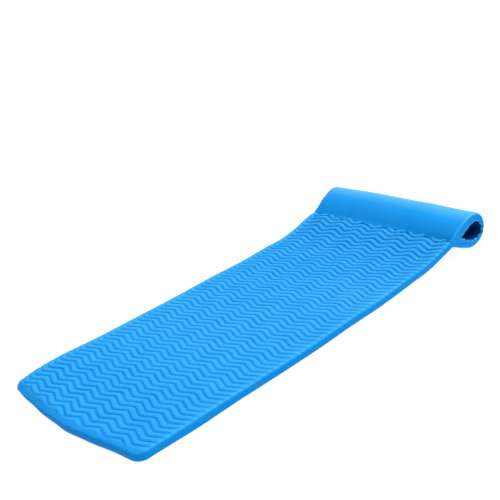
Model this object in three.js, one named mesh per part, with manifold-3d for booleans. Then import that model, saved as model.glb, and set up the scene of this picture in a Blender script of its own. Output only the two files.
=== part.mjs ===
// Pool float: a foam mat with a zigzag ridged face, whose head end is rolled up and bonded into a pillow.
// Millimetres, Z up, X across the mat, Y from the foot to the head, standing on Z zero.
// The mat is drawn as one sheet that follows a middle line: s is the length along it and n the height over it.
import * as THREE from "three";
import Module from "manifold-3d";

const wasm = await Module();
wasm.setup();

// Driving dimensions of the whole float
const MAT_WIDTH = 660;
const OVERALL_LENGTH = 1632;
const THICKNESS = 32;

// The pillow: its roll, the pinch where the sheet turns into the roll, and the ramp that climbs to the pinch
const ROLL_DIAMETER = 138;
const PINCH_TO_ROLL = 114;
const PINCH_HEIGHT = 50;
const PINCH_ROUND = 12;
const RAMP_LENGTH = 580;
const RAMP_FLARE = 235;

// The outline of the foot and the rounding of the edges
const FOOT_BULGE = 28;
const FOOT_CORNER = 38;
const EDGE_ROUND = 8;

// The layers of the sheet
const COAT = 1.2;
const FACE = 5;
const BOND = 1;
const FIT = 0.3;

// The zigzag relief
const ROW_PITCH = 24;
const GROOVE_DEPTH = 3.5;
const GROOVE_WIDTH = 11;
const ZIGZAG_PERIOD = 96;
const ZIGZAG_HEIGHT = 19;
const ZIGZAG_SHIFT = 36;

// The sections between the lines where the sheet bends, as shares of its length, and how far it bends down
const FOOT_SHARE = 0.245;
const LEG_SHARE = 0.245;
const HEAD_SHARE = 0.2;
const BEND_DOWN = THREE.MathUtils.degToRad(15);

// One overrun serves all cuts
const OVERRUN = 5;

// Sizes that follow from these
const HALF_WIDTH = MAT_WIDTH / 2;
const HALF_THICKNESS = THICKNESS / 2;
const MIDDLE_RADIUS = (ROLL_DIAMETER - THICKNESS) / 2;
const FACE_FOOT = THICKNESS - FACE;

// Middle line of the sheet in the YZ plane, with the stretches named in the order in which they follow
const rollCentre = new THREE.Vector2(OVERALL_LENGTH - ROLL_DIAMETER / 2, ROLL_DIAMETER / 2);
const pinch = new THREE.Vector2(rollCentre.x - PINCH_TO_ROLL, PINCH_HEIGHT + HALF_THICKNESS);
const rampStart = new THREE.Vector2(pinch.x - RAMP_LENGTH, HALF_THICKNESS);
const rampFlare = new THREE.Vector2(pinch.x - RAMP_FLARE, HALF_THICKNESS);
const rise = pinch.clone().sub(rampFlare).normalize();
const toCentre = rollCentre.clone().sub(pinch);
const spread = Math.asin(MIDDLE_RADIUS / toCentre.length());
const fallAngle = toCentre.angle() - spread;
const returnAngle = toCentre.angle() + spread;
const fall = new THREE.Vector2(Math.cos(fallAngle), Math.sin(fallAngle));
const back = new THREE.Vector2(-Math.cos(returnAngle), -Math.sin(returnAngle));
const straightRun = Math.sqrt(toCentre.lengthSq() - MIDDLE_RADIUS ** 2);
const rampEnd = pinch.clone().addScaledVector(rise, -PINCH_ROUND);
const fallStart = pinch.clone().addScaledVector(fall, PINCH_ROUND);
const fallEnd = pinch.clone().addScaledVector(fall, straightRun);
const rollFront = pinch.clone().addScaledVector(back, -straightRun);
const tailEnd = pinch.clone().addScaledVector(back, HALF_THICKNESS);

const middle = new THREE.CurvePath();
middle.add(new THREE.LineCurve(new THREE.Vector2(0, HALF_THICKNESS), rampStart));
middle.add(new THREE.QuadraticBezierCurve(rampStart, rampFlare, rampEnd));
middle.add(new THREE.QuadraticBezierCurve(rampEnd, pinch, fallStart));
middle.add(new THREE.LineCurve(fallStart, fallEnd));
middle.add(new THREE.EllipseCurve(
  rollCentre.x, rollCentre.y, MIDDLE_RADIUS, MIDDLE_RADIUS,
  fallAngle - Math.PI / 2, returnAngle + Math.PI / 2,
));
middle.add(new THREE.LineCurve(rollFront, tailEnd));

const [flatEnd, rampTop, pinchEnd, rollStart, rollEnd, sheetEnd] = middle.getCurveLengths();
const pinchLength = (rampTop + pinchEnd) / 2;
const stretchSteps = [1, 6, 4, 1, 24, 1];

// Every length along the sheet at which a swept piece has a ring of points
const stations = [0];
[flatEnd, rampTop, pinchEnd, rollStart, rollEnd, sheetEnd].forEach((end, stretch) => {
  const start = stations.at(-1);
  for (let step = 1; step <= stretchSteps[stretch]; step += 1) {
    stations.push(THREE.MathUtils.lerp(start, end, step / stretchSteps[stretch]));
  }
});

// Point of the sheet: x across, s along the middle line, n over it, and a straight step from there
function onSheet(x, s, n, ahead = 0) {
  const inside = THREE.MathUtils.clamp(s, 0, sheetEnd);
  const share = inside / sheetEnd;
  const point = middle.getPoint(share);
  const along = middle.getTangent(share);
  const step = ahead + s - inside;
  const y = point.x + along.x * step - along.y * n;
  const z = point.y + along.y * step + along.x * n;
  return new THREE.Vector3(x, y, z);
}

// Closed solid through rings of points, which turn anticlockwise about the way they follow each other.
// The outline gives the same points flat, for the two end faces.
function ringSolid(rings, outline) {
  const count = outline.length;
  const faces = THREE.ShapeUtils.triangulateShape(outline, []);
  const last = (rings.length - 1) * count;
  const triangles = [];
  for (let ring = 0; ring < rings.length - 1; ring += 1) {
    for (let side = 0; side < count; side += 1) {
      const a = ring * count + side;
      const b = ring * count + (side + 1) % count;
      triangles.push(a, b, b + count, a, b + count, a + count);
    }
  }
  for (const [a, b, c] of faces) {
    triangles.push(a, c, b, last + a, last + b, last + c);
  }
  const positions = rings.flat().flatMap((point) => point.toArray());
  return new wasm.Manifold(new wasm.Mesh({
    numProp: 3,
    vertProperties: new Float32Array(positions),
    triVerts: new Uint32Array(triangles),
  }));
}

// The ridged lining turns inside the roll, where half of the stations are enough
const rollStation = stations.indexOf(rollStart);
const sparseStations = stations.filter((s, index) => s <= rollStart || (index - rollStation) % 2 === 0);

// Solid whose section in x and n runs along the sheet between two lengths
function sweepSheet(section, from, to, lengthsTaken = stations) {
  const between = lengthsTaken.filter((s) => s > from && s < to);
  const lengths = [from, ...between, to].reverse();
  const rings = lengths.map((s) => section.map((point) => onSheet(point.x, s, point.y)));
  return ringSolid(rings, section);
}

// A rim is the right-hand edge of a layer: pairs of inset from the mat's side and height over its underside
function roundRim(radius) {
  const steps = 3;
  return Array.from({ length: steps + 1 }, (_, step) => {
    const angle = (Math.PI / 2) * (step / steps);
    return [EDGE_ROUND - radius * Math.sin(angle), EDGE_ROUND - radius * Math.cos(angle)];
  });
}

const coatTop = FACE_FOOT - FIT;
const rims = {
  core: [...roundRim(EDGE_ROUND - COAT - FIT), [COAT + FIT, coatTop]],
  face: [[0, FACE_FOOT], [0, THICKNESS]],
  underside: [[EDGE_ROUND + FIT, 0], [EDGE_ROUND + FIT, COAT]],
  coatOutside: [...roundRim(EDGE_ROUND), [0, coatTop]],
  coatInside: [...roundRim(EDGE_ROUND - COAT), [COAT, coatTop]],
  whole: [[0, 0], [0, THICKNESS]],
};

function rimPoints(rim, side) {
  return rim.map(([inset, height]) => (
    new THREE.Vector2(side * (HALF_WIDTH - inset), height - HALF_THICKNESS)
  ));
}

// Section of a layer that goes right across the mat
function layerSection(rim) {
  return [...rimPoints(rim, 1), ...rimPoints(rim, -1).reverse()];
}

// Section of the coat on one side edge
function edgeSection(side) {
  const outside = rimPoints(rims.coatOutside, side);
  const inside = rimPoints(rims.coatInside, side).reverse();
  const section = [...outside, ...inside];
  return side > 0 ? section : section.reverse();
}

function arcPoints(centreX, centreY, radius, from, to, steps) {
  return Array.from({ length: steps + 1 }, (_, step) => {
    const angle = THREE.MathUtils.lerp(from, to, step / steps);
    return new THREE.Vector2(centreX + radius * Math.cos(angle), centreY + radius * Math.sin(angle));
  });
}

// Plan outline of the foot end, drawn in by an inset, from the left side round to the right
function footRing(inset, rear) {
  const side = HALF_WIDTH - inset;
  const cornerX = HALF_WIDTH - FOOT_CORNER;
  const endRadius = (HALF_WIDTH ** 2 + FOOT_BULGE ** 2) / (2 * FOOT_BULGE);
  const cornerY = endRadius - Math.sqrt((endRadius - FOOT_CORNER) ** 2 - cornerX ** 2);
  const turn = Math.atan2(cornerY - endRadius, cornerX);
  const radius = FOOT_CORNER - inset;
  return [
    new THREE.Vector2(-side, rear),
    ...arcPoints(-cornerX, cornerY, radius, -Math.PI, -Math.PI - turn, 5),
    ...arcPoints(0, endRadius, endRadius - inset, -Math.PI - turn, turn, 10).slice(1, -1),
    ...arcPoints(cornerX, cornerY, radius, turn, 0, 5),
    new THREE.Vector2(side, rear),
  ];
}

// Solid of the foot end, from rings at the insets and heights of a rim
function footSolid(rim, rear) {
  const rings = rim.map(([inset, height]) => (
    footRing(inset, rear).map((point) => new THREE.Vector3(point.x, point.y, height))
  ));
  return ringSolid(rings, footRing(rim[0][0], rear));
}

// Box over the whole width between two places along the flat part of the mat
function crossBox(from, to, left = -HALF_WIDTH - OVERRUN, right = HALF_WIDTH + OVERRUN) {
  const box = new THREE.Box3(
    new THREE.Vector3(left, from, -OVERRUN),
    new THREE.Vector3(right, to, THICKNESS + OVERRUN),
  );
  const size = box.getSize(new THREE.Vector3());
  return wasm.Manifold.cube(size.toArray(), false).translate(box.min.toArray());
}

// Wedge that parts two sections: its edge lies on the bend line at the top of the ridges
function bendNotch(s) {
  const low = HALF_THICKNESS + OVERRUN;
  const top = HALF_THICKNESS + OVERRUN;
  const topReach = FIT / 2;
  const lowReach = FIT / 2 + (HALF_THICKNESS + low) * Math.tan(BEND_DOWN / 2);
  const outline = [
    new THREE.Vector2(-lowReach, -low),
    new THREE.Vector2(lowReach, -low),
    new THREE.Vector2(topReach, HALF_THICKNESS),
    new THREE.Vector2(topReach, top),
    new THREE.Vector2(-topReach, top),
    new THREE.Vector2(-topReach, HALF_THICKNESS),
  ];
  const reach = HALF_WIDTH + OVERRUN;
  const rings = [-reach, reach].map((x) => outline.map((point) => onSheet(x, s, point.y, point.x)));
  return ringSolid(rings, outline);
}

// One groove of the relief, which zigzags across the mat about a length along the sheet
function ridgeGroove(s, zigzag) {
  const bottom = HALF_THICKNESS - GROOVE_DEPTH;
  const top = HALF_THICKNESS + OVERRUN;
  const topReach = (GROOVE_WIDTH / 2) * ((top - bottom) / GROOVE_DEPTH);
  const outline = [
    new THREE.Vector2(0, bottom),
    new THREE.Vector2(topReach, top),
    new THREE.Vector2(-topReach, top),
  ];
  const reach = HALF_WIDTH + OVERRUN;
  const leg = zigzag > 0 ? ZIGZAG_PERIOD / 2 : reach;
  const first = -Math.ceil((reach + ZIGZAG_SHIFT) / leg);
  const last = Math.ceil((reach - ZIGZAG_SHIFT) / leg);
  const rings = [];
  for (let turn = first; turn <= last; turn += 1) {
    const x = ZIGZAG_SHIFT + turn * leg;
    const place = s + (turn % 2 === 0 ? zigzag / 2 : -zigzag / 2);
    rings.push(outline.map((point) => onSheet(x, place, point.y, point.x)));
  }
  return ringSolid(rings, outline);
}

// Cuts the grooves whose middle lies between two lengths along the sheet
function cutGrooves(solid, from, to, zigzag = ZIGZAG_HEIGHT) {
  let cut = solid;
  const first = Math.ceil(from / ROW_PITCH - 1 / 2);
  for (let row = first; (row + 1 / 2) * ROW_PITCH < to; row += 1) {
    cut = cut.subtract(ridgeGroove((row + 1 / 2) * ROW_PITCH, zigzag));
  }
  return cut;
}

// Nodes of the float
const float = new THREE.Group();
float.position.y = -OVERALL_LENGTH / 2;

const foamColour = 0x1f86dd;
const materials = {
  core: new THREE.MeshStandardMaterial({ color: foamColour, roughness: 0.9, metalness: 0 }),
  face: new THREE.MeshStandardMaterial({ color: 0x3fa6f5, roughness: 0.45, metalness: 0 }),
  coat: new THREE.MeshStandardMaterial({ color: 0x2b93ea, roughness: 0.4, metalness: 0 }),
  bond: new THREE.MeshStandardMaterial({ color: 0x1466a8, roughness: 0.6, metalness: 0 }),
};

function addNode(name, solid, material) {
  const mesh = solid.getMesh();
  const geometry = new THREE.BufferGeometry();
  geometry.setAttribute("position", new THREE.BufferAttribute(mesh.vertProperties, 3));
  geometry.setIndex(new THREE.BufferAttribute(mesh.triVerts, 1));
  const flat = geometry.toNonIndexed();
  flat.computeVertexNormals();
  const node = new THREE.Mesh(flat, material);
  node.name = name;
  float.add(node);
}

// Bend lines and sections
const footBend = OVERALL_LENGTH * FOOT_SHARE;
const legBend = footBend + OVERALL_LENGTH * LEG_SHARE;
const headSection = OVERALL_LENGTH * HEAD_SHARE;
const headBend = pinchLength - headSection;
const notches = [footBend, legBend, headBend].map(bendNotch);
const parted = (solid) => notches.reduce((left, notch) => left.subtract(notch), solid);

// Foot section: its plan outline is rounded, so it is built up in rings from the underside
const footRear = footBend + OVERRUN;
const footBox = crossBox(-OVERRUN, footBend);
const footPiece = (rim) => parted(footSolid(rim, footRear).intersect(footBox));
const coatBottom = [[EDGE_ROUND, -OVERRUN], ...rims.coatInside.slice(0, -1), [COAT, THICKNESS]];
const footCoat = parted(
  footSolid(rims.coatOutside, footRear).subtract(footSolid(coatBottom, footRear + OVERRUN)),
).intersect(footBox);
const footEnd = FOOT_BULGE + FOOT_CORNER;
const footFace = cutGrooves(footPiece(rims.face), -ROW_PITCH, footBend + ROW_PITCH);
addNode("foot_core", footPiece(rims.core), materials.core);
addNode("foot_ridged_face", footFace, materials.face);
addNode("foot_underside_coat", footPiece(rims.underside), materials.coat);
addNode("foot_end_coat", footCoat.intersect(crossBox(-OVERRUN, footEnd)), materials.coat);
const coatRest = [footEnd + FIT, footBend + OVERRUN];
addNode("foot_left_edge_coat", footCoat.intersect(crossBox(...coatRest, undefined, 0)), materials.coat);
addNode("foot_right_edge_coat", footCoat.intersect(crossBox(...coatRest, 0)), materials.coat);

// Leg, back and head sections: each layer is swept along the sheet
function addSection(name, from, to) {
  const piece = (section) => parted(sweepSheet(section, from, to));
  const lastGroove = Math.min(to + ROW_PITCH, rampTop - ZIGZAG_HEIGHT / 2);
  const face = cutGrooves(piece(layerSection(rims.face)), from - ROW_PITCH, lastGroove);
  addNode(`${name}_core`, piece(layerSection(rims.core)), materials.core);
  addNode(`${name}_ridged_face`, face, materials.face);
  addNode(`${name}_underside_coat`, piece(layerSection(rims.underside)), materials.coat);
  addNode(`${name}_left_edge_coat`, piece(edgeSection(-1)), materials.coat);
  addNode(`${name}_right_edge_coat`, piece(edgeSection(1)), materials.coat);
}
addSection("leg", footBend, legBend);
addSection("back", legBend, headBend);
addSection("head", headBend, pinchLength);

// Pillow: the sheet runs on round the roll, and its end is cut to lie on the ridged face at the pinch
const lapLayer = (low, high) => [
  new THREE.Vector2(-HALF_WIDTH - OVERRUN, low),
  new THREE.Vector2(HALF_WIDTH + OVERRUN, low),
  new THREE.Vector2(HALF_WIDTH + OVERRUN, high),
  new THREE.Vector2(-HALF_WIDTH - OVERRUN, high),
];
const bondFoot = HALF_THICKNESS + FIT;
const bondTop = bondFoot + BOND;
const lapStart = pinchLength - headSection / 2;
const lapTrim = sweepSheet(lapLayer(-HALF_THICKNESS - OVERRUN, bondTop + FIT), lapStart, rollStart);
const pillowStart = pinchLength + FIT;

function rolled(section, lengthsTaken = stations) {
  const loop = sweepSheet(section, pillowStart, rollEnd, lengthsTaken);
  const tail = sweepSheet(section, rollEnd, sheetEnd, lengthsTaken).subtract(lapTrim);
  return loop.add(tail);
}

const tailBlock = sweepSheet(layerSection(rims.whole), rollEnd, sheetEnd);
const bondSheet = sweepSheet(lapLayer(bondFoot, bondTop), lapStart, rollStart);
const lapLength = HALF_THICKNESS / Math.sin(spread);
const boreStart = pinchLength + lapLength + ROW_PITCH;
const boreEnd = sheetEnd - HALF_THICKNESS - lapLength - ROW_PITCH;
const lining = cutGrooves(rolled(layerSection(rims.face), sparseStations), boreStart, boreEnd, 0);
addNode("pillow_core", rolled(layerSection(rims.core)), materials.core);
addNode("pillow_ridged_lining", lining, materials.face);
addNode("pillow_outer_coat", rolled(layerSection(rims.underside)), materials.coat);
addNode("pillow_left_end_coat", rolled(edgeSection(-1)), materials.coat);
addNode("pillow_right_end_coat", rolled(edgeSection(1)), materials.coat);
addNode("pillow_bond", bondSheet.intersect(tailBlock), materials.bond);

export default float;
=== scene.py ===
"""Looks of the pool float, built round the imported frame.

The float is one ridged foam sheet. A point of it is given by x across the mat, s along the sheet's
middle line, from the foot end up the ramp and round the pillow to the lapped end, and n over that
line towards the ridged side. All three are millimetres, and become metres when a mesh is made. A
capital name that ends in AT is a pair of places, where a change starts and where it is whole.
"""

import math

import bpy
import numpy as np
from mathutils import Matrix, Vector


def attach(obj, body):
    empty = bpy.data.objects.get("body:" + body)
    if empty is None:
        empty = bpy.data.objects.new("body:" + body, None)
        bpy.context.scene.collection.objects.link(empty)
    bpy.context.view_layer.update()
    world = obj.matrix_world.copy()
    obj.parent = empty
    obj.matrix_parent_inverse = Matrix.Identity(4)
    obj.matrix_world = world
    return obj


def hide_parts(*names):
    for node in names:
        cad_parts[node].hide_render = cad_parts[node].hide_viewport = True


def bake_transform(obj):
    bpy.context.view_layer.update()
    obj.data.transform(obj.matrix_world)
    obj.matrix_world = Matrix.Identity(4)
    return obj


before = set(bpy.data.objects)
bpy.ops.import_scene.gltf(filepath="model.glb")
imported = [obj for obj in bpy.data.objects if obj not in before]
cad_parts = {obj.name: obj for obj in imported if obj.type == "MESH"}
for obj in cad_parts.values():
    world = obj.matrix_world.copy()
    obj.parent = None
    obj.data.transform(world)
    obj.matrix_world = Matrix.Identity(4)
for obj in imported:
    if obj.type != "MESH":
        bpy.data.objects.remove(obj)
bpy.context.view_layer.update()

# Foot part of the mat: closed-cell vinyl foam, cut to a plan with a slightly bowed end and rounded
# corners, embossed with zigzag ridges and then dipped in soft vinyl. It is one piece with the leg
# part, so this mesh covers both.
MM = 0.001
MAT_LENGTH = 1632.0
HALF_WIDTH = 330.0
HALF_THICKNESS = 16.0
ROLL_RADIUS = 69.0
PINCH_TO_ROLL = 114.0
PINCH_HEIGHT = 50.0
PINCH_ROUND = 12.0
RAMP_LENGTH = 580.0
RAMP_FLARE = 235.0
CURVE_POINTS = 121
TURN_POINTS = 241
LINE_POINTS = 3776

roll_centre = np.array([MAT_LENGTH - ROLL_RADIUS, ROLL_RADIUS])
roll_middle = ROLL_RADIUS - HALF_THICKNESS
pinch = np.array([roll_centre[0] - PINCH_TO_ROLL, PINCH_HEIGHT + HALF_THICKNESS])
ramp_start = np.array([pinch[0] - RAMP_LENGTH, HALF_THICKNESS])
ramp_flare = np.array([pinch[0] - RAMP_FLARE, HALF_THICKNESS])
to_roll = math.atan2(*(roll_centre - pinch)[::-1])
roll_distance = math.hypot(*(roll_centre - pinch))
spread = math.asin(roll_middle / roll_distance)
straight_run = math.sqrt(roll_distance**2 - roll_middle**2)
fall = np.array([math.cos(to_roll - spread), math.sin(to_roll - spread)])
climb = np.array([math.cos(to_roll + spread), math.sin(to_roll + spread)])
rise = (pinch - ramp_flare) / np.linalg.norm(pinch - ramp_flare)
turn_start = to_roll - spread - math.pi / 2
turn_angles = np.linspace(turn_start, to_roll + spread + math.pi / 2, TURN_POINTS)


def drawn_curve(start, control, end):
    """Points of a curve: shares (1-t)^2, 2t(1-t) and t^2 of start, control and end."""
    t = np.linspace(0, 1, CURVE_POINTS)[:, None]
    return (1 - t) ** 2 * start + 2 * t * (1 - t) * control + t**2 * end


rough_line = np.concatenate([
    [[0.0, HALF_THICKNESS]],
    drawn_curve(ramp_start, ramp_flare, pinch - rise * PINCH_ROUND),
    drawn_curve(pinch - rise * PINCH_ROUND, pinch, pinch + fall * PINCH_ROUND)[1:],
    roll_centre + roll_middle * np.stack([np.cos(turn_angles), np.sin(turn_angles)], 1),
    [pinch - climb * HALF_THICKNESS],
])
rough_length = np.append(0, np.cumsum(np.linalg.norm(np.diff(rough_line, axis=0), axis=1)))
SHEET_END = rough_length[-1]
ROLL_END = SHEET_END - HALF_THICKNESS - straight_run
line_s = np.linspace(0, SHEET_END, LINE_POINTS)
line_points = np.stack([np.interp(line_s, rough_length, rough_line[:, axis]) for axis in (0, 1)])
line_along = np.gradient(line_points, line_s, axis=1)
line_along /= np.linalg.norm(line_along, axis=0)


def ease(value, start, end):
    """0 before start, 1 after end, and 3t^2 - 2t^3 between."""
    t = np.clip((value - start) / (end - start), 0, 1)
    return t * t * (3 - 2 * t)


def bell(value, centre, width):
    """1 at centre, falling on both sides as e to the minus square of the distance in widths."""
    return np.exp(-(((value - centre) / width) ** 2))


def bells(value, shapes):
    """Sum of bells, each of them given by its height, centre and width."""
    return sum(height * bell(value, centre, width) for height, centre, width in shapes)


MAT_LIFTS = ((3.5, 880.0, 110.0), (-5.0, 1300.0, 75.0))
LEFT_LIFTS = ((5.0, 215.0, 90.0), (-5.0, 1225.0, 60.0), (4.0, 1395.0, 40.0))
RIGHT_BOW = ((6.5, 640.0, 330.0),)
RIGHT_LEAN = ((5.0, 230.0, 100.0),)
CORNER_IN = ((4.0, 60.0, 35.0),)
FOOT_EDGE_IN = ((5.5, -300.0, 65.0), (4.5, -185.0, 50.0), (-5.0, 25.0, 50.0), (5.0, 225.0, 65.0))
FOOT_EDGE_AT = (20.0, 110.0)
ROLL_AT = (1440.0, 1540.0)
ROLL_BACK_AT = (1500.0, 1610.0)
ROLL_TOP_AT = (60.0, 130.0)
ROLL_TOP_FULLER = ((3.0, -125.0, 110.0),)
ROLL_SQUASH = 0.05
ROLL_SQUASH_AT = (90.0, HALF_WIDTH)
ROLL_PRESS = 6.0
ROLL_PRESS_AT = (120.0, 290.0)
ROLL_OUT = 11.0


def on_sheet(x, s, n):
    """Place in metres of sheet points: the middle line at s, plus n times its normal, x across.

    As the float lies in use, bells lift the mat off the floor and let the ramp sag, with some of
    them on the left only. The right side bows out along the legs and leans out near the foot. The
    foot's left corner and its edge on the right are drawn in, and the edge between stands out. The
    top of the roll is fuller on the left, and its right end is pressed down and out to the back.
    """
    y, z = (np.interp(s, line_s, values) for values in line_points)
    along_y, along_z = (np.interp(s, line_s, values) for values in line_along)
    y, z = y - along_z * n, z + along_y * n
    right = (1 + x / HALF_WIDTH) / 2
    z = z + bells(s, MAT_LIFTS) + (1 - right) * bells(s, LEFT_LIFTS)
    in_roll, at_end = ease(y, *ROLL_AT), ease(x, *ROLL_SQUASH_AT)
    z = z + ROLL_SQUASH * at_end * in_roll * (ROLL_RADIUS - z)
    top_moved = bells(x, ROLL_TOP_FULLER) - ROLL_PRESS * ease(x, *ROLL_PRESS_AT)
    z = z + ease(z, *ROLL_TOP_AT) * in_roll * top_moved
    y = y + ROLL_OUT * at_end * ease(y, *ROLL_BACK_AT)
    y = y + bells(x, FOOT_EDGE_IN) * (1 - ease(s, *FOOT_EDGE_AT))
    lean = bells(s, RIGHT_LEAN) * (1 - n / HALF_THICKNESS) / 2
    x = x + right * (bells(s, RIGHT_BOW) + lean) + (1 - right) ** 4 * bells(s, CORNER_IN)
    return np.stack([x, y - MAT_LENGTH / 2, z], -1) * MM


WAVES = ((1.0, 0.7, 1.3), (0.6, -1.1, 4.1), (-1.4, 0.4, 0.0))


def uneven(x, s, size):
    """Slow unevenness of hand-finished foam, about -1 to 1: the mean of three sines that cross.

    Each has its own turns p across and q along, counted per size millimetres, and its own start.
    """
    a, b = x * math.tau / size, s * math.tau / size
    return sum(np.sin(p * a + q * b + start) for p, q, start in WAVES) / len(WAVES)


ROW_PITCH = 24.0
GROOVE_DEPTH = 3.9
ZIGZAG_PERIOD = 96.0
ZIGZAG_HEIGHT = 19.0
ZIGZAG_SHIFT = 36.0
CRISPNESS = 0.985
CRISPNESS_LOST = 0.12
ROUNDER_AT = (250.0, 1350.0)


def zigzag(x, s):
    """Shift of a ridge along s at x: arcsine of a cut cosine, so straight legs with rounded turns.

    The cosine is cut a little at the foot and further towards the head, for rounder turns there.
    """
    crispness = CRISPNESS - CRISPNESS_LOST * ease(s, *ROUNDER_AT)
    wave = crispness * np.cos(math.tau * (x - ZIGZAG_SHIFT) / ZIGZAG_PERIOD)
    return ZIGZAG_HEIGHT / 2 * np.arcsin(wave) / np.arcsin(crispness)


PINCH_S = 1451.8
UNDER_LAP_AT = (PINCH_S + 2, PINCH_S + 16)
INTO_ROLL_AT = (PINCH_S + 46, PINCH_S + 62)
GLUED_END_AT = (SHEET_END - 66, SHEET_END - 50)


def in_sight(s):
    """1 along the ridged side, 0 where it is bonded: under the lap and at the roll's glued end."""
    return 1 - ease(s, *UNDER_LAP_AT) + ease(s, *INTO_ROLL_AT) - ease(s, *GLUED_END_AT)


GROOVE_SHAPE = ((0.45, 0.0, 3.2), (0.55, 0.0, 6.4))
DEEPER = 0.2
DEEPER_AT = (700.0, 1400.0)
DEPTH_UNEVEN = 0.14
DEPTH_UNEVEN_SIZE = 140.0


def relief(x, s):
    """Depth of the grooves: a narrow and a wide bell about the zigzag lines, none in the bond."""
    row = (s - zigzag(x, s)) / ROW_PITCH - 0.5
    off = (row - np.round(row)) * ROW_PITCH
    deeper = 1 + DEEPER * ease(s, *DEEPER_AT) + DEPTH_UNEVEN * uneven(x, s, DEPTH_UNEVEN_SIZE)
    return GROOVE_DEPTH * bells(off, GROOVE_SHAPE) * in_sight(s) * deeper


FOOT_BULGE = 28.0
FOOT_CORNER = 38.0
end_radius = (HALF_WIDTH**2 + FOOT_BULGE**2) / (2 * FOOT_BULGE)
corner_x = HALF_WIDTH - FOOT_CORNER
corner_s = end_radius - math.sqrt((end_radius - FOOT_CORNER) ** 2 - corner_x**2)
corner_turn = math.atan2(end_radius - corner_s, corner_x)


def foot_distance(x, s):
    """Distance in from the bowed foot end: its radius less the distance from its centre."""
    return end_radius - np.hypot(x, s - end_radius)


CORNER_S = 40.0
CORNER_LENGTH = 55.0
CORNER_WIDTH = 90.0


def left_corner(x, s):
    """1 at the foot's left corner, which is pressed thin, and falling to none about it."""
    return bell(x, -HALF_WIDTH, CORNER_WIDTH) * bell(s, CORNER_S, CORNER_LENGTH)


TOP_WEAR = 15.0
TOP_WEAR_SAVED = 12.0
TOP_WEAR_SAVED_AT = (-220.0, 150.0)
TOP_WEAR_AT = (-2, 34)
TOP_WEAR_POWER = 1.5
CORNER_SUNK = 5.0
ROLL_WALL = ((5.0, 1508.0, 22.0), (-19.0, 1634.0, 38.0))
ROLL_WALL_FULLER = 12.5
ROLL_WALL_FULLER_AT = (1690.0, 1750.0)
FACE_UNEVEN = 0.45
FACE_UNEVEN_SIZE = 230.0
CRUMPLES = ((1.8, 29.0), (0.9, 15.0))
CRUMPLES_S = PINCH_S - 24.0
CRUMPLES_LENGTH = 44.0


def ridged_side(x, s):
    """Height n of the ridge tops: flat, but worn down round the foot end, crumpled before the lap.

    In the roll the wall is thinner at the back, and fuller at the bottom and over the top. The
    crumples are two sums of crossing sines, each with its height and its size.
    """
    from_end = 1 - ease(foot_distance(x, s), *TOP_WEAR_AT)
    sunk = (TOP_WEAR - TOP_WEAR_SAVED * ease(x, *TOP_WEAR_SAVED_AT)) * from_end**TOP_WEAR_POWER
    sunk = sunk + CORNER_SUNK * left_corner(x, s)
    in_roll = bells(s, ROLL_WALL) + ROLL_WALL_FULLER * ease(s, *ROLL_WALL_FULLER_AT)
    crumpled = sum(height * uneven(x, s, size) for height, size in CRUMPLES)
    crumpled = crumpled * bell(s, CRUMPLES_S, CRUMPLES_LENGTH)
    return HALF_THICKNESS - sunk + in_roll + FACE_UNEVEN * uneven(x, s, FACE_UNEVEN_SIZE) + crumpled


SIDE_SHARE = 0.6
SIDE_FROM = 6
SIDE_TO = 28
FILLED_SHARE = 0.5
FILLED_REACH = 8
FILLED_AT = (200.0, HALF_WIDTH)
FILLED_AT_FOOT = 0.65
FILLED_WHOLE_AT = (100.0, 400.0)
FILLED_END_AT = (PINCH_S, PINCH_S + 50)
OPEN_IN_ROLL = 0.4
OPEN_IN_ROLL_AT = (PINCH_S + 50, PINCH_S + 80)
SHUT_OVER_TOP = 0.75
SHUT_OVER_TOP_AT = (1680.0, 1730.0)
FOOT_MARGIN_AT = (6, 29)


def groove_side(x, s):
    """Depth of the grooves along the edges: less at the sides, and none in a margin at the foot.

    Along the mat's left side the coat has filled them, so that its edge runs smooth. At the ends of
    the roll they are whole, but for its top.
    """
    filled = ease(-x, *FILLED_AT) * (1 - ease(s, *FILLED_END_AT))
    filled = filled * (FILLED_AT_FOOT + (1 - FILLED_AT_FOOT) * ease(s, *FILLED_WHOLE_AT))
    least = SIDE_SHARE - FILLED_SHARE * filled + OPEN_IN_ROLL * ease(s, *OPEN_IN_ROLL_AT)
    least = least - SHUT_OVER_TOP * ease(s, *SHUT_OVER_TOP_AT)
    inward = ease(HALF_WIDTH - np.abs(x), SIDE_FROM, SIDE_TO + FILLED_REACH * filled)
    at_side = least + (1 - least) * inward
    return relief(x, s) * ease(foot_distance(x, s), *FOOT_MARGIN_AT) * at_side


TURN_UP = 1.5
TURN_UP_LEFT = 7.5
TURN_UP_LEFT_AT = (120.0, 325.0)
TURN_UP_AT = (-2, 30)
TURN_UP_POWER = 1.4
CORNER_UP = 3.0
ROLL_TOP_SKIN = ((3.0, 1742.0, 55.0),)


def smooth_side(x, s):
    """Height n of the smooth side: fuller over the roll's top, and turned up along the foot end."""
    from_end = 1 - ease(foot_distance(x, s), *TURN_UP_AT)
    turned_up = (TURN_UP + TURN_UP_LEFT * ease(-x, *TURN_UP_LEFT_AT)) * from_end**TURN_UP_POWER
    return turned_up + CORNER_UP * left_corner(x, s) - HALF_THICKNESS - bells(s, ROLL_TOP_SKIN)


# Painted shade round the foot end.
FOOT_SHADE = 1.1
FOOT_SHADE_AT = (-8, 32)


def foot_painted_shade(x, s):
    """Painted shade round the foot end, where the top slopes down and the end wall faces away from
    the light, and none 32 mm in.
    """
    return FOOT_SHADE * (1 - ease(foot_distance(x, s), *FOOT_SHADE_AT))


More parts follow.
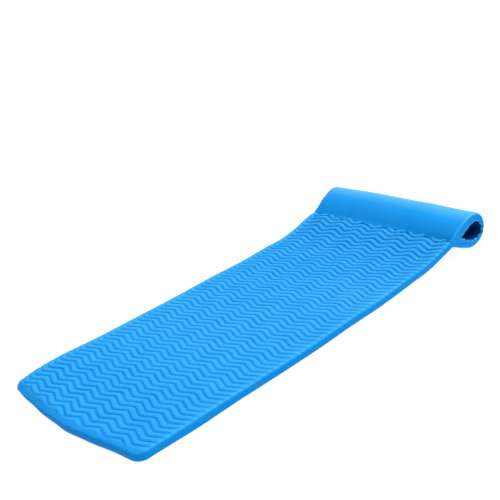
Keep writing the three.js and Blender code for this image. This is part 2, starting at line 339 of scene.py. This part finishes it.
ROLL_INSIDE_SHADE = 2.0
ROLL_INSIDE_SHADE_AT = (PINCH_S + 40, PINCH_S + 70)
ROLL_INSIDE_SHADE_END_AT = (SHEET_END - 90, SHEET_END - 60)
TONE_OFFSET = 0.05
PALER_UPWARD = 0.19
PALER_UPWARD_AT = (100.0, 500.0)
SEAT_PAINTED_LIGHT = ((0.18, 1030.0, 120.0),)
SEAT_PAINTED_LIGHT_AT = (-60.0, 240.0)
PALER_END_AT = (PINCH_S - 20, PINCH_S)


def ridged_tone_and_painted_shade(x, s):
    """Tone and painted shade on the ridged side: painted shade round the foot end, and the darkest
    painted shade inside the roll.

    Before the lap it is paler from the calves up, and paler again below the ramp's steep part on
    the right, as painted light.
    """
    # Painted shade inside the roll, where its hollow lies in shade.
    in_roll = ROLL_INSIDE_SHADE * ease(s, *ROLL_INSIDE_SHADE_AT) * (1 - ease(s, *ROLL_INSIDE_SHADE_END_AT))
    # Paler from the calves up, less a small offset, and painted light on a patch below the ramp's
    # steep part.
    paler_share = PALER_UPWARD * ease(s, *PALER_UPWARD_AT) - TONE_OFFSET + bells(s, SEAT_PAINTED_LIGHT) * ease(x, *SEAT_PAINTED_LIGHT_AT)
    return foot_painted_shade(x, s) + in_roll - paler_share * (1 - ease(s, *PALER_END_AT))


ROLL_TOP_SHEEN = 0.95
ROLL_TOP_SHEEN_AT = (1640.0, 1700.0)
ROLL_TOP_SHEEN_END_AT = (1726.0, 1796.0)
LAP_SHADE_HIGH = 0.4
LAP_SHADE_HIGH_AT = (SHEET_END - 126, SHEET_END - 66)
LAP_SHADE_LOW = 0.6
LAP_SHADE_LOW_AT = (SHEET_END - 51, SHEET_END - 18)
LAP_SHADE_LEFT = 0.9
LAP_SHADE_RIGHT_MORE = 0.3
LAP_SHADE_RIGHT_AT = (0.0, 300.0)


def smooth_painted_light_shade(x, s):
    """Painted light and shade on the smooth side: a painted sheen over the roll's top, and painted
    shade over its lower front down to the glued end, more on the right.
    """
    # Painted sheen: the paler colour over the roll's top.
    painted_sheen = ROLL_TOP_SHEEN * ease(s, *ROLL_TOP_SHEEN_AT) * (1 - ease(s, *ROLL_TOP_SHEEN_END_AT))
    # Painted shade: the deeper colour over the roll's lower front, down to its glued end.
    lap_shade = LAP_SHADE_HIGH * ease(s, *LAP_SHADE_HIGH_AT) + LAP_SHADE_LOW * ease(s, *LAP_SHADE_LOW_AT)
    return lap_shade * (LAP_SHADE_LEFT + LAP_SHADE_RIGHT_MORE * ease(x, *LAP_SHADE_RIGHT_AT)) - painted_sheen


RIM = 7.0
RIM_SHARE = 0.28
ROUND_POINTS = 6
WALL_POINTS = 2
WALL_OUT = 0.5
GROOVE_RUN_OUT = 0.6
# How fast the painted shade on the walls rises over the rim's top rounding and falls over its lower
# one.
WALL_SHADE_RISE = 0.65
WALL_SHADE_FALL = 0.5
quarter = np.linspace(0, math.pi / 2, ROUND_POINTS)
wall = np.ones(WALL_POINTS)
wall_high = np.linspace(1 - RIM_SHARE, RIM_SHARE, WALL_POINTS + 2)[1:-1]
below_edge = np.zeros(WALL_POINTS + ROUND_POINTS)
rim_out = np.concatenate([RIM * np.sin(quarter), RIM + WALL_OUT * wall, RIM * np.cos(quarter)])
rim_high = np.concatenate(
    [1 - RIM_SHARE * (1 - np.cos(quarter)), wall_high, RIM_SHARE * (1 - np.sin(quarter))]
)
rim_ridged = np.concatenate([np.cos(quarter) ** GROOVE_RUN_OUT, below_edge])
# Painted shade over the rim: rising over its top rounding, whole on the wall, falling over the
# lower rounding.
rim_painted_shade = np.concatenate(
    [(1 - np.cos(quarter)) ** WALL_SHADE_RISE, wall, np.cos(quarter) ** WALL_SHADE_FALL]
)
# Painted highlight over the rim's top rounding, strongest halfway round. Reversed, it lies on the
# lower rounding.
rim_painted_highlight = np.concatenate([np.sin(2 * quarter), below_edge])
rim_smooth = np.concatenate([below_edge, np.sin(quarter)])
SIDE_COLUMNS = 163
across = np.linspace(-HALF_WIDTH + RIM, HALF_WIDTH - RIM, SIDE_COLUMNS)


def plan_rows(rows, sheared):
    """Plan of the mat at given rows: columns keep their x, and s is the row plus a zigzag share."""
    x = np.broadcast_to(across, (len(rows), SIDE_COLUMNS))
    s = rows[:, None] + zigzag(x, rows[:, None]) * sheared[:, None]
    ones = np.ones(len(rows))
    return x, s, math.pi * ones, math.tau * ones


ROW_STEPS = np.array([0, 1.6, 3.2, 5.0, 7.6, 12.0, 16.4, 19.0, 20.8, 22.4])


def groove_rows(first, last):
    """Rows of mesh from one groove to another, close in the grooves and wide on the ridge tops."""
    starts = (np.arange(first, last) + 0.5) * ROW_PITCH
    return np.append((starts[:, None] + ROW_STEPS).ravel(), (last + 0.5) * ROW_PITCH)


FOOT_ROWS = 50
OUTLINE_POINTS = 2001


def foot_plan(last_row):
    """Plan of the foot end: a patch between the outline, set in by the rim, and the last row.

    The patch adds what lies between its left and right edges to what lies between its lower and
    upper ones, and takes off what lies between its four corners. The plan ends with the way out at
    the left, the right and the foot edge.
    """
    inner = FOOT_CORNER - RIM
    angles = np.linspace(math.pi, math.tau, OUTLINE_POINTS)
    outline = np.stack([end_radius * np.cos(angles), end_radius * (1 + np.sin(angles))], 1)
    for side, here in ((-1, angles < math.pi + corner_turn), (1, angles > math.tau - corner_turn)):
        round_corner = FOOT_CORNER * np.stack([np.cos(angles), np.sin(angles)], 1)
        outline[here] = (round_corner + [side * corner_x, corner_s])[here]
    set_in = outline - RIM * np.stack([np.cos(angles), np.sin(angles)], 1)
    left_angle = math.pi + corner_turn / 2
    right_angle = math.tau - corner_turn / 2
    span = np.interp([left_angle, right_angle], angles, set_in[:, 0])
    foot_angles = np.interp(np.linspace(*span, SIDE_COLUMNS), set_in[:, 0], angles)
    foot_edge = np.stack([np.interp(foot_angles, angles, set_in[:, axis]) for axis in (0, 1)], 1)
    head_edge = np.stack([across, last_row + zigzag(across, last_row)], 1)

    def side_edge(side, top):
        bend = inner * corner_turn / 2
        length = np.linspace(0, bend + top - corner_s, FOOT_ROWS + 1)
        way = np.maximum(corner_turn / 2 - length / inner, 0)
        edge = np.stack([
            side * (corner_x + inner * np.cos(way)),
            corner_s - inner * np.sin(way) + np.maximum(length - bend, 0),
        ], 1)
        return edge, way

    left_edge, left_way = side_edge(-1, head_edge[0, 1])
    right_edge, right_way = side_edge(1, head_edge[-1, 1])
    u = np.linspace(0, 1, SIDE_COLUMNS)[None, :, None]
    v = np.linspace(0, 1, FOOT_ROWS + 1)[:, None, None]
    patch = (1 - v) * foot_edge[None] + v * head_edge[None]
    patch = patch + (1 - u) * left_edge[:, None] + u * right_edge[:, None]
    patch = patch - (1 - v) * ((1 - u) * foot_edge[0] + u * foot_edge[-1])
    patch = patch - v * ((1 - u) * head_edge[0] + u * head_edge[-1])
    return patch[..., 0], patch[..., 1], math.pi + left_way, math.tau - right_way, foot_angles


# Painted shade on the walls, 14% less from the middle on.
WALL_SHADE_LESS = 0.14
WALL_SHADE_LESS_AT = (500.0, 1200.0)
# Painted highlights along the mat's ridged top edges and along the roll's smooth edges.
EDGE_HIGHLIGHT = 0.7
EDGE_HIGHLIGHT_AT = (15, 60)
ROLL_EDGE_HIGHLIGHT = 1.3
ROLL_EDGE_HIGHLIGHT_AT = (PINCH_S + 40, PINCH_S + 90)
RIDGED_RIM = 3
SHARP_ANGLE = 60


def sheet_mesh(name, plan, foot_angles=None):
    """Closed mesh of a stretch of the sheet over a plan of x and s.

    The ridged and the smooth side are grids over the plan. A rounded rim joins them along the
    sides, and round the foot where foot_angles gives the way out there. A strip of faces closes
    each cut end. Each point gets a share of painted light and shade: painted shade in the grooves,
    on the walls and round the foot end, and painted highlights along the mat's ridged edges and the
    roll's smooth ones.
    """
    x, s, left_way, right_way = plan
    rows, columns = x.shape
    top = np.arange(rows * columns).reshape(rows, columns)
    under = top + rows * columns
    left = np.stack([np.arange(rows)[::-1], np.zeros(rows, int)])
    right = np.stack([np.arange(rows), np.full(rows, columns - 1)])
    strips = [(left, left_way[::-1]), (right, right_way)]
    if foot_angles is not None:
        foot = np.stack([np.zeros(columns, int), np.arange(columns)])
        loop = np.concatenate([left, foot[:, 1:-1], right], 1)
        strips = [(loop, np.concatenate([left_way[::-1], foot_angles[1:-1], right_way]))]
    groove = groove_side(x, s)
    places = [on_sheet(x, s, ridged_side(x, s) - groove), on_sheet(x, s, smooth_side(x, s))]
    # Painted shade in the grooves: the deeper a groove, the darker its colour. The smooth side gets
    # its own painted light and shade.
    shading_shares = [groove / GROOVE_DEPTH + ridged_tone_and_painted_shade(x, s), smooth_painted_light_shade(x, s)]
    quads = [np.stack([top[:-1, :-1], top[:-1, 1:], top[1:, 1:], top[1:, :-1]], -1)]
    quads.append(np.stack([under[:-1, :-1], under[1:, :-1], under[1:, 1:], under[:-1, 1:]], -1))
    rims, count = [], 2 * rows * columns
    inner = slice(1, -1)
    for (row, column), way in strips:
        x_at, s_at, way = x[row, column][:, None], s[row, column][:, None], way[:, None]
        depth = groove_side(x_at, s_at) * rim_ridged[inner]
        out = rim_out[inner] - depth * rim_out[inner] / RIM
        x_rim, s_rim = x_at + out * np.cos(way), s_at + out * np.sin(way)
        high, low = ridged_side(x_at, s_at), smooth_side(x_at, s_at)
        places.append(on_sheet(x_rim, s_rim, low + (high - low) * rim_high[inner] - depth))
        # Painted shade on the walls, and at least the painted shade round the foot end.
        wall_shade = rim_painted_shade[inner] * (1 - WALL_SHADE_LESS * ease(s_at, *WALL_SHADE_LESS_AT))
        wall_shade = np.maximum(wall_shade, foot_painted_shade(x_at, s_at))
        # Painted highlights along the ridged top edge away from the foot end, and along the roll's
        # smooth edges.
        past_foot = ease(foot_distance(x_at, s_at), *EDGE_HIGHLIGHT_AT)
        paler_share = EDGE_HIGHLIGHT * rim_painted_highlight[inner] * past_foot * in_sight(s_at)
        paler_share = paler_share + ROLL_EDGE_HIGHLIGHT * rim_painted_highlight[::-1][inner] ** 2 * ease(s_at, *ROLL_EDGE_HIGHLIGHT_AT)
        smooth_share = smooth_painted_light_shade(x_at, s_at) * rim_smooth[inner]
        # At the rim the grooves are darkened as painted shade too, as on the faces.
        shading_shares.append(depth / GROOVE_DEPTH + wall_shade - paler_share + smooth_share)
        ring = np.arange(depth.size).reshape(depth.shape) + count
        ring = np.concatenate([top[row, column][:, None], ring, under[row, column][:, None]], 1)
        quads.append(np.stack([ring[:-1, :-1], ring[:-1, 1:], ring[1:, 1:], ring[1:, :-1]], -1))
        rims.append(ring)
        count += depth.size
    caps = [
        *np.stack([top[-1, :-1], top[-1, 1:], under[-1, 1:], under[-1, :-1]], -1).tolist(),
        rims[-1][-1].tolist(), rims[0][0, ::-1].tolist(),
    ]
    if foot_angles is None:
        caps += [
            *np.stack([top[0, 1:], top[0, :-1], under[0, :-1], under[0, 1:]], -1).tolist(),
            rims[-1][0, ::-1].tolist(), rims[0][-1].tolist(),
        ]
    vertices = np.concatenate([place.reshape(-1, 3) for place in places])
    faces = np.concatenate([quad.reshape(-1, 4) for quad in quads])
    mesh = bpy.data.meshes.new(name)
    mesh.from_pydata(vertices.tolist(), [], faces.tolist() + caps)
    smooth = [np.zeros(quads[0].size // 4, int), np.ones(quads[1].size // 4, int)]
    for quad in quads[2:]:
        past_ridged = np.arange(quad.shape[1]) >= RIDGED_RIM
        smooth.append(np.broadcast_to(past_ridged, quad.shape[:2]).ravel())
    smooth.append(np.ones(len(caps), int))
    mesh.polygons.foreach_set("material_index", np.concatenate(smooth).astype(np.int32))
    shade = mesh.attributes.new("painted_light_and_shade", "FLOAT", "POINT")
    shade.data.foreach_set("value", np.concatenate([share.ravel() for share in shading_shares]))
    mesh.shade_smooth()
    mesh.set_sharp_from_angle(angle=math.radians(SHARP_ANGLE))
    piece = bpy.data.objects.new(name, mesh)
    bpy.context.scene.collection.objects.link(piece)
    return piece


def linear_colour(code):
    """An sRGB hex colour as linear red, green, blue and alpha."""
    parts = [int(code[i:i + 2], 16) / 255 for i in (1, 3, 5)]
    return [p / 12.92 if p <= 0.04045 else ((p + 0.055) / 1.055) ** 2.4 for p in parts] + [1.0]


def add_node(tree, kind, settings, links):
    """Adds a node of a kind. Settings go to the input or property of that name, links to inputs."""
    node = tree.nodes.new(kind)
    for name, value in settings.items():
        if isinstance(name, int) or name in node.inputs:
            node.inputs[name].default_value = value
        else:
            setattr(node, name, value)
    for name, socket in links.items():
        tree.links.new(socket, node.inputs[name])
    return node


CLOUD_WIDTH = 0.07
LUMP_WIDTH = 0.009
VINYL_IOR = 1.5
SMOOTHER = 0.06
ROUGHER = 0.08
# Steps of the shading attribute: paler below 0 for painted highlights, deeper above 0 and darkest
# above 1 for painted shade.
SHADING_STEPS = ((0.0, -1.0), (0.0, 1.2), (1.0, 2.0))


def vinyl_coat(name, colours, grain, grain_height, lump_height, roughness, shine):
    """Soft plasticised vinyl, dipped: semi-matt, slightly cloudy, with a fine dried grain.

    Colours are the common one, a cloudier one, a paler one for painted highlights, painted sheen
    and paler stretches, a deeper one for painted shade in the grooves, on the walls, round the foot
    end and above the lap, and the darkest one for painted shade inside the roll. The shading
    attribute brings in the last three by steps, each from its first value to its second. Grain is
    the width in metres of one grain of the surface, drawn twice as coarse as the real one.
    """
    material = bpy.data.materials.new(name)
    material.use_nodes = True
    tree = material.node_tree
    tree.nodes.clear()
    place = add_node(tree, "ShaderNodeTexCoord", {}, {}).outputs["Object"]
    cloud = add_node(
        tree, "ShaderNodeTexNoise",
        {"Scale": 1 / CLOUD_WIDTH, "Detail": 4.0, "Roughness": 0.6}, {"Vector": place},
    )
    colour = add_node(
        tree, "ShaderNodeMix",
        {"data_type": "RGBA", 6: linear_colour(colours[0]), 7: linear_colour(colours[1])},
        {0: cloud.outputs["Fac"]},
    )
    coat = add_node(tree, "ShaderNodeAttribute", {"attribute_name": "painted_light_and_shade"}, {}).outputs["Fac"]
    for next_colour, (first, whole) in zip(colours[2:], SHADING_STEPS):
        share = add_node(tree, "ShaderNodeMapRange", {1: first, 2: whole}, {0: coat})
        colour = add_node(
            tree, "ShaderNodeMix", {"data_type": "RGBA", 7: linear_colour(next_colour)},
            {0: share.outputs[0], 6: colour.outputs[2]},
        )
    fine = add_node(
        tree, "ShaderNodeTexNoise",
        {"Scale": 1 / grain, "Detail": 3.0, "Roughness": 0.55}, {"Vector": place},
    )
    lumps = add_node(
        tree, "ShaderNodeTexNoise",
        {"Scale": 1 / LUMP_WIDTH, "Detail": 2.0, "Roughness": 0.5}, {"Vector": place},
    )
    rough = add_node(
        tree, "ShaderNodeMapRange",
        {3: roughness - SMOOTHER, 4: roughness + ROUGHER}, {0: fine.outputs["Fac"]},
    )
    lumpy = add_node(
        tree, "ShaderNodeBump",
        {"Strength": 1.0, "Distance": lump_height}, {"Height": lumps.outputs["Fac"]},
    )
    grainy = add_node(
        tree, "ShaderNodeBump", {"Strength": 1.0, "Distance": grain_height},
        {"Height": fine.outputs["Fac"], "Normal": lumpy.outputs[0]},
    )
    shader = add_node(
        tree, "ShaderNodeBsdfPrincipled", {"IOR": VINYL_IOR, "Specular IOR Level": shine},
        {
            "Base Color": colour.outputs[2],
            "Roughness": rough.outputs[0],
            "Normal": grainy.outputs[0],
        },
    )
    add_node(tree, "ShaderNodeOutputMaterial", {}, {"Surface": shader.outputs[0]})
    return material


# The last three colours of each coat: paler for painted highlights, deeper and darkest for painted
# shade.
ridged_vinyl = vinyl_coat(
    "ridged_vinyl_coat", ("#2EA1EA", "#38A9EF", "#5DBBF8", "#0082D8", "#084488"),
    grain=0.0016, grain_height=0.00012, lump_height=0.0007, roughness=0.5, shine=0.04,
)
smooth_vinyl = vinyl_coat(
    "smooth_vinyl_coat", ("#229FF5", "#28A4F9", "#5DBBF8", "#0684D6", "#084488"),
    grain=0.0022, grain_height=0.00008, lump_height=0.0004, roughness=0.45, shine=0.02,
)

FOOT_LAST = 4
LEG_SEAM = 25
end_x, end_s, end_left, end_right, end_foot = foot_plan((FOOT_LAST + 0.5) * ROW_PITCH)
leg_rows = groove_rows(FOOT_LAST, LEG_SEAM)[1:]
leg_x, leg_s, leg_left, leg_right = plan_rows(leg_rows, np.ones(len(leg_rows)))
foot_part = sheet_mesh(
    "mat_foot_part",
    (
        np.concatenate([end_x, leg_x]),
        np.concatenate([end_s, leg_s]),
        np.concatenate([end_left, leg_left]),
        np.concatenate([end_right, leg_right]),
    ),
    end_foot,
)
foot_part.data.materials.append(ridged_vinyl)
foot_part.data.materials.append(smooth_vinyl)
for section in ("foot", "leg"):
    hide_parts(*[n for n in sorted(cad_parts) if n.startswith(section)])


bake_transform(foot_part)

# Middle part of the mat, under the legs and the seat: the same foam, ridges and coat, which run on
# without a seam. The mesh parts from its neighbours in the bottom of a groove.
BACK_SEAM = 40
middle_rows = groove_rows(LEG_SEAM, BACK_SEAM)
middle_part = sheet_mesh("mat_middle_part", plan_rows(middle_rows, np.ones(len(middle_rows))))
middle_part.data.materials.append(ridged_vinyl)
middle_part.data.materials.append(smooth_vinyl)
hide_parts(*[n for n in sorted(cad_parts) if n.startswith("back")])
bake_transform(middle_part)

# Head part of the mat: the sheet climbs here to the pinch in front of the pillow, which holds it
# up. The last rows straighten under the lapped end of the roll, where they are glued down.
LAP_SEAM = 61
head_rows = groove_rows(BACK_SEAM, LAP_SEAM)
lap_seam = (LAP_SEAM + 0.5) * ROW_PITCH
SHEAR_FROM = 6
SHEAR_TO = 44
head_shear = 1 - ease(head_rows, lap_seam - SHEAR_TO, lap_seam - SHEAR_FROM)
head_part = sheet_mesh("mat_head_part", plan_rows(head_rows, head_shear))
head_part.data.materials.append(ridged_vinyl)
head_part.data.materials.append(smooth_vinyl)
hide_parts(*[n for n in sorted(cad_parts) if n.startswith("head")])
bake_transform(head_part)

# Pillow: the end of the same sheet, rolled over with its ridges inside and glued down on the
# ridged face. Its end is squeezed into the grooves there, so that the ridges come out from under an
# uneven, puckered edge.
LAP_FROM = PINCH_S - 70
LAP_TO = PINCH_S + 110
LAP_POINTS = 721
lap_faces = np.linspace(LAP_FROM, LAP_TO, LAP_POINTS)
lap_line = on_sheet(0 * lap_faces, lap_faces, HALF_THICKNESS + 0 * lap_faces)[:, 1:] / MM
tail_from = on_sheet(np.zeros(1), np.array([ROLL_END]), np.zeros(1))[0, 1:] / MM
lap_along = (lap_line - tail_from) @ -climb
lap_depth = (lap_line - tail_from) @ np.array([climb[1], -climb[0]])
lap_order = np.argsort(lap_along)
LAP_FILL = 4.2
LAP_END = SHEET_END - 6.0


def lap_limit(s):
    """Height n at which the tail of the roll reaches the ridged face that it is glued to."""
    return np.interp(s - ROLL_END, lap_along[lap_order], lap_depth[lap_order])


def sines(x, waves):
    """Sum of sines across x, each given by its height, its length per radian and its start."""
    return sum(height * np.sin(x / width + start) for height, width, start in waves)


RAGGED_MAIN = (2.2, 17.0)
RAGGED_WAVER = ((1.2, 53.0, 0.0),)
RAGGED_REST = ((1.9, 31.0, 1.9), (1.5, 8.3, 0.0))
RAGGED_SHORT = 9.0
RAGGED_SHORT_AT = (170.0, HALF_WIDTH)


def ragged(x):
    """Unevenness of the glued end along s: sines, the first wavering, and 9 mm less at the left."""
    waves = sines(x, ((*RAGGED_MAIN, sines(x, RAGGED_WAVER)), *RAGGED_REST))
    return waves - RAGGED_SHORT * ease(-x, *RAGGED_SHORT_AT)


FOLD_MAIN = (1.0, 9.5)
FOLD_WAVER = ((2.0, 61.0, 0.0),)
FOLD_REST = ((0.8, 21.0, 1.9), (0.6, 5.3, 0.0))
FOLD_HEIGHT = 0.3
FOLDS_MORE = ((0.75, -110.0, 120.0),)
FOLDS_AT = (LAP_END - 75, LAP_END - 12)


def pucker(x, s):
    """Small folds that run up from the glued end: sines, the first wavering, gone 75 mm up."""
    folds = sines(x, ((*FOLD_MAIN, sines(x, FOLD_WAVER)), *FOLD_REST))
    return (FOLD_HEIGHT + bells(x, FOLDS_MORE)) * folds * ease(s, *FOLDS_AT)


mat_ridged_side, mat_smooth_side = ridged_side, smooth_side
TAIL_FULLER = ((5.5, 1812.0, 36.0),)
HOLLOW = 7.0
TAIL_SUNK = 2.3
TAIL_SUNK_AT = (LAP_END - 55, LAP_END - 8)
NO_LIMIT = HALF_THICKNESS * 9
TAIL_LEAST = 0.4


def smooth_side(x, s):
    """The mat's smooth side, fuller down the tail, which ends in a hollow curve into the ridges.

    The height h over the face becomes half of h plus the root of h^2 + 7^2, less a little sink.
    """
    tail = mat_smooth_side(x, s) - bells(s, TAIL_FULLER)
    height = lap_limit(s) - tail
    hollow = 0.5 * (height + np.sqrt(height**2 + HOLLOW**2)) - TAIL_SUNK * ease(s, *TAIL_SUNK_AT)
    return np.where(s > ROLL_END, lap_limit(s) - hollow + pucker(x, s), tail)


def ridged_side(x, s):
    """The mat's ridged side, cut off where the tail fills the face's grooves.

    It never comes nearer than 0.4 mm to the smooth side.
    """
    limit = np.where(s > ROLL_END, lap_limit(s) + LAP_FILL, NO_LIMIT)
    return np.maximum(np.minimum(mat_ridged_side(x, s), limit), smooth_side(x, s) + TAIL_LEAST)


ROLL_LAST = 76
CLOSE_ROWS = 60
STRAIGHT_AT = (LAP_END - 110, LAP_END - 60)
RAGGED_AT = (LAP_END - 40, LAP_END)
roll_rows = groove_rows(LAP_SEAM, ROLL_LAST)
close_rows = np.linspace(LAP_END - CLOSE_ROWS, LAP_END, CLOSE_ROWS + 1)
roll_rows = np.append(roll_rows[roll_rows < LAP_END - CLOSE_ROWS - 1], close_rows)
roll_shear = ease(roll_rows, lap_seam + SHEAR_FROM, lap_seam + SHEAR_TO)
roll_shear = roll_shear - ease(roll_rows, *STRAIGHT_AT)
roll_x, roll_s, roll_left, roll_right = plan_rows(roll_rows, roll_shear)
roll_s = roll_s + ragged(roll_x) * ease(roll_rows, *RAGGED_AT)[:, None]
pillow = sheet_mesh("pillow_roll", (roll_x, roll_s, roll_left, roll_right))
pillow.data.materials.append(ridged_vinyl)
pillow.data.materials.append(smooth_vinyl)
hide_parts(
    *[n for n in sorted(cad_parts) if n.startswith("pillow") and "bond" not in n]
)
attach(pillow, "head_section")

# Bond of the pillow: contact adhesive, squeezed out of the lap into the grooves as a thin uneven
# bead, glossier than the coat and coloured darker as painted shadow along the lap line.
BEAD_RADIUS = 1.4
BEAD_UNEVEN = 0.35
BEAD_UNEVEN_SIZE = 47.0
BEAD_FROM_SIDE = 5
BEAD_BEFORE = 0.3
BEAD_SUNK = 3.1
BEAD_END_SHARE = 0.3
BEAD_POINTS = 661
RING_POINTS = 8
bead_x = np.linspace(-HALF_WIDTH + BEAD_FROM_SIDE, HALF_WIDTH - BEAD_FROM_SIDE, BEAD_POINTS)
bead_s = LAP_END + ragged(bead_x) + BEAD_BEFORE
bead_n = lap_limit(bead_s) + BEAD_SUNK
bead_round = np.linspace(0, math.tau, RING_POINTS + 1)[:-1]
bead_size = BEAD_RADIUS * (1 + BEAD_UNEVEN * uneven(bead_x, 0 * bead_x, BEAD_UNEVEN_SIZE))
bead_size[[0, -1]] *= BEAD_END_SHARE
bead_rings = on_sheet(
    bead_x[:, None] + 0 * bead_round,
    bead_s[:, None] + bead_size[:, None] * np.cos(bead_round),
    bead_n[:, None] + bead_size[:, None] * np.sin(bead_round),
)
ring = np.arange(BEAD_POINTS * RING_POINTS).reshape(-1, RING_POINTS)
ring_next = np.roll(ring, -1, axis=1)
bead_quads = np.stack([ring[:-1], ring_next[:-1], ring_next[1:], ring[1:]], -1)
bead_faces = bead_quads.reshape(-1, 4).tolist() + [ring[0, ::-1].tolist(), ring[-1].tolist()]
bead_mesh = bpy.data.meshes.new("lap_shadow_bead")
bead_mesh.from_pydata(bead_rings.reshape(-1, 3).tolist(), [], bead_faces)
bead_mesh.shade_smooth()
bead = bpy.data.objects.new("lap_shadow_bead", bead_mesh)
bpy.context.scene.collection.objects.link(bead)
# Darker blue than the coat: painted shadow along the lap line.
bead.data.materials.append(vinyl_coat(
    "lap_painted_shadow", ("#127CD0", "#1782D6"),
    grain=0.003, grain_height=0.0001, lump_height=0.0004, roughness=0.36, shine=0.4,
))
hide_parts("pillow_bond")
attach(bead, "head_section")

# Stage: a pale light table, which glows so that shadows stay faint, under a pale sky that is white
# near the horizon, and one large soft light high behind the pillow, as for a catalogue photograph.
FLOOR_REACH = 60.0
FLOOR_BELOW = 0.0006
TABLE_GLOW = 0.9
floor_mesh = bpy.data.meshes.new("floor")
corners = FLOOR_REACH * np.array([[-1, -1, 0], [1, -1, 0], [1, 1, 0], [-1, 1, 0]])
floor_mesh.from_pydata((corners - [0, 0, FLOOR_BELOW]).tolist(), [], [[0, 1, 2, 3]])
floor = bpy.data.objects.new("floor", floor_mesh)
bpy.context.scene.collection.objects.link(floor)
opal = bpy.data.materials.new("opal_table_sheet")
opal.use_nodes = True
opal_shader = opal.node_tree.nodes["Principled BSDF"]
opal_shader.inputs["Base Color"].default_value = linear_colour("#7A7A7A")
opal_shader.inputs["Roughness"].default_value = 0.9
opal_shader.inputs["Specular IOR Level"].default_value = 0.0
opal_shader.inputs["Emission Color"].default_value = linear_colour("#FFFFFF")
opal_shader.inputs["Emission Strength"].default_value = TABLE_GLOW
floor.data.materials.append(opal)

SKY_FALLOFF = 9.0
SKY_LOW = 0.3
SKY_HIGH = 1.05
world = bpy.data.worlds.new("pale_sky")
world.use_nodes = True
sky = world.node_tree
toward = add_node(sky, "ShaderNodeTexCoord", {}, {}).outputs["Generated"]
height = add_node(sky, "ShaderNodeSeparateXYZ", {}, {0: toward}).outputs["Z"]
below = add_node(sky, "ShaderNodeMapRange", {1: 0.0, 2: 1.0, 3: 1.0, 4: 0.0}, {0: height})
falloff = {"operation": "POWER", 1: SKY_FALLOFF}
band = add_node(sky, "ShaderNodeMath", falloff, {0: below.outputs[0]})
bright = add_node(sky, "ShaderNodeMapRange", {3: SKY_LOW, 4: SKY_HIGH}, {0: band.outputs[0]})
sky.links.new(bright.outputs[0], sky.nodes["Background"].inputs["Strength"])
sky.nodes["Background"].inputs["Color"].default_value = linear_colour("#FFFFFF")
bpy.context.scene.world = world

LAMP_STRENGTH = 3.12
LAMP_WIDTH = 60
LAMP_FROM = (0.2, 0.37, 0.9)
lamp_data = bpy.data.lights.new("soft_light", "SUN")
lamp_data.energy = LAMP_STRENGTH
lamp_data.angle = math.radians(LAMP_WIDTH)
lamp = bpy.data.objects.new("soft_light", lamp_data)
lamp.rotation_euler = Vector(LAMP_FROM).to_track_quat("Z", "Y").to_euler()
bpy.context.scene.collection.objects.link(lamp)

AZIMUTH, ELEVATION, TILT = (math.radians(angle) for angle in (49.84, 22.501, -9.41))
CAMERA_DISTANCE = 3.4911
LENS = 63.214
SENSOR_WIDTH = 36.0
CLIP_END = 200.0
aim = Vector((-0.4368, 0.3470, 0))
backward = Vector((
    math.sin(AZIMUTH) * math.cos(ELEVATION),
    -math.cos(AZIMUTH) * math.cos(ELEVATION),
    math.sin(ELEVATION),
))
rightward = Vector((math.cos(AZIMUTH), math.sin(AZIMUTH), 0))
upward = rightward.cross(-backward)
camera_x = math.cos(TILT) * rightward + math.sin(TILT) * upward
camera_y = -math.sin(TILT) * rightward + math.cos(TILT) * upward
camera_data = bpy.data.cameras.new("camera")
camera_data.lens = LENS
camera_data.sensor_width = SENSOR_WIDTH
camera_data.clip_end = CLIP_END
camera = bpy.data.objects.new("camera", camera_data)
camera.matrix_world = Matrix.Translation(aim + backward * CAMERA_DISTANCE) @ Matrix(
    (camera_x, camera_y, backward)
).transposed().to_4x4()
bpy.context.scene.collection.objects.link(camera)
bpy.context.scene.camera = camera
bpy.context.scene.view_settings.view_transform = "Standard"
